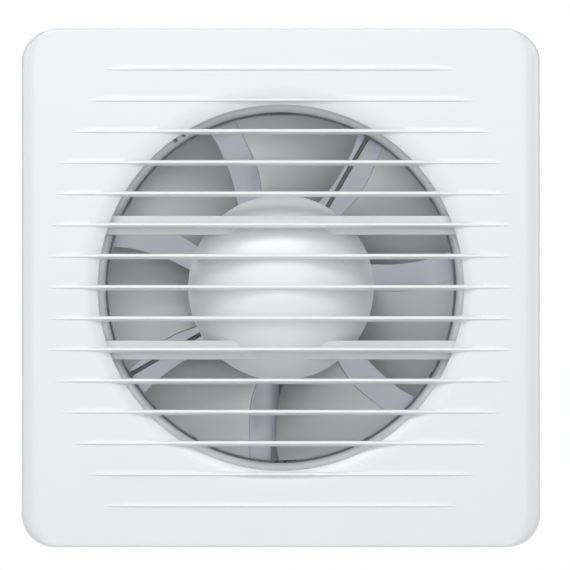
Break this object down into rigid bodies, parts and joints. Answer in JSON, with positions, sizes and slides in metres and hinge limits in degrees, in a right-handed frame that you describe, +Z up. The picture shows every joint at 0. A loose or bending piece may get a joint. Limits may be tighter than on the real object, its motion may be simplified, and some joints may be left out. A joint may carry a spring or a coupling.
{
  "type": "bathroom extractor fan",
  "caption": "Square white axial extractor fan with a slatted bell-mouth cover, nose dome, bladed impeller, motor on radial ribs, duct spigot and back-draught shutter.",
  "frame": {"origin": "on the fan's axis, in the plane of the wall that the mounting plate rests on", "axes": "+Y along the fan's axis into the wall, +Z up, front of the cover faces -Y"},
  "size_m": [0.176, 0.114, 0.176],
  "materials": {
    "white_abs": "injection-moulded, satin gloss",
    "casing_plastic": "injection-moulded, satin",
    "carrier_plastic": "injection-moulded, satin",
    "impeller_plastic": "injection-moulded, satin",
    "shutter_plastic": "injection-moulded, matte",
    "nylon": "natural nylon",
    "black_rubber": "matte",
    "bright_steel": "ground",
    "plated_steel": "zinc plated",
    "rotor_steel": "turned laminations",
    "lamination_steel": "varnished laminations",
    "zinc_casting": "die cast",
    "sintered_bronze": "sintered, oil filled",
    "copper": "drawn copper",
    "enamelled_wire": "enamelled copper wire",
    "brown_pvc": "insulated lead",
    "blue_pvc": "insulated lead"
  },
  "bodies": {
    "housing": {"front_grille": "white_abs", "duct_casing": "casing_plastic", "motor_carrier": "carrier_plastic", "lead_cover": "carrier_plastic", "stator_core": "lamination_steel", "shading_ring_left": "copper", "shading_ring_right": "copper", "coil_bobbin": "nylon", "coil_winding": "enamelled_wire", "thermal_fuse": "nylon", "bracket_front": "zinc_casting", "bracket_rear": "zinc_casting", "bearing_front": "sintered_bronze", "bearing_rear": "sintered_bronze", "bearing_retainer_front": "bright_steel", "bearing_retainer_rear": "bright_steel", "motor_screw_left": "plated_steel", "motor_screw_right": "plated_steel", "motor_nut_left": "plated_steel", "motor_nut_right": "plated_steel", "mount_grommet_left": "black_rubber", "mount_grommet_right": "black_rubber", "terminal_block": "nylon", "terminal_screw_live": "plated_steel", "terminal_screw_neutral": "plated_steel", "terminal_cover": "casing_plastic", "cable_clamp": "nylon", "clamp_screw_left": "plated_steel", "clamp_screw_right": "plated_steel", "cable_grommet": "black_rubber", "lead_live": "brown_pvc", "lead_neutral": "blue_pvc", "shutter_spindle": "bright_steel"},
    "rotating_group": {"impeller": "impeller_plastic", "shaft": "bright_steel", "impeller_clip": "bright_steel", "rotor": "rotor_steel", "thrust_washer": "nylon"},
    "left_leaf": {"shutter_leaf_left": "shutter_plastic", "shutter_spring_left": "bright_steel"},
    "right_leaf": {"shutter_leaf_right": "shutter_plastic", "shutter_spring_right": "bright_steel"}
  },
  "joints": [
    {"name": "fan_spin", "type": "hinge", "parent": "housing", "child": "rotating_group", "pos_m": [0, 0, 0], "axis": [0, -1, 0], "continuous": true},
    {"name": "left_leaf_hinge", "type": "hinge", "parent": "housing", "child": "left_leaf", "pos_m": [0, 0.086, 0], "axis": [0, 0, -1], "range_deg": [0, 80], "stiffness_Nm_per_rad": 0.002, "springref_deg": -8.59},
    {"name": "right_leaf_hinge", "type": "hinge", "parent": "housing", "child": "right_leaf", "pos_m": [0, 0.086, 0], "axis": [0, 0, 1], "range_deg": [0, 80], "stiffness_Nm_per_rad": 0.002, "springref_deg": -8.59}
  ]
}
